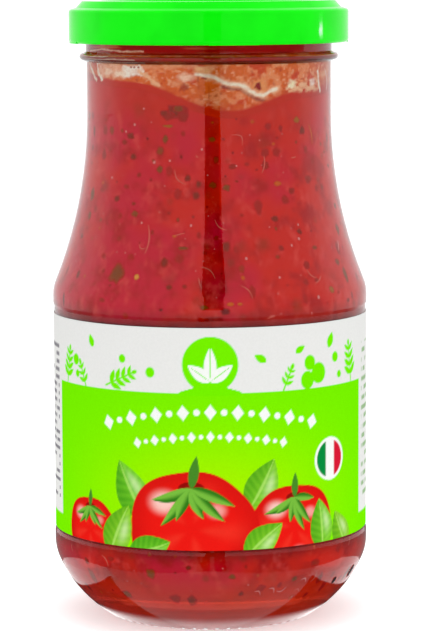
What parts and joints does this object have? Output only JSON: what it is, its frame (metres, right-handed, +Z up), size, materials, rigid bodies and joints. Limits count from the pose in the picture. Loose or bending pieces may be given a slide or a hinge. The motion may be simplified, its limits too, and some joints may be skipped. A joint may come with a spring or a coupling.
{
  "type": "jar of tomato sauce",
  "caption": "Glass jar of red tomato sauce with herbs, closed by a green twist-off metal lid and wrapped in a white and green paper label; it holds, shows and stores the sauce.",
  "frame": {"origin": "on the jar's axis, in the plane that its base stands on", "axes": "+Z up along the jar's axis, from the base to the lid; the middle of the label's front faces -Y"},
  "size_m": [0.0756, 0.0756, 0.1477],
  "materials": {
    "glass": "clear",
    "sauce": "gloss",
    "label": "satin",
    "lid": "gloss"
  },
  "bodies": {
    "root": {"glass_jar": "glass", "sauce": "sauce", "label": "label", "lid": "lid"}
  },
  "joints": []
}
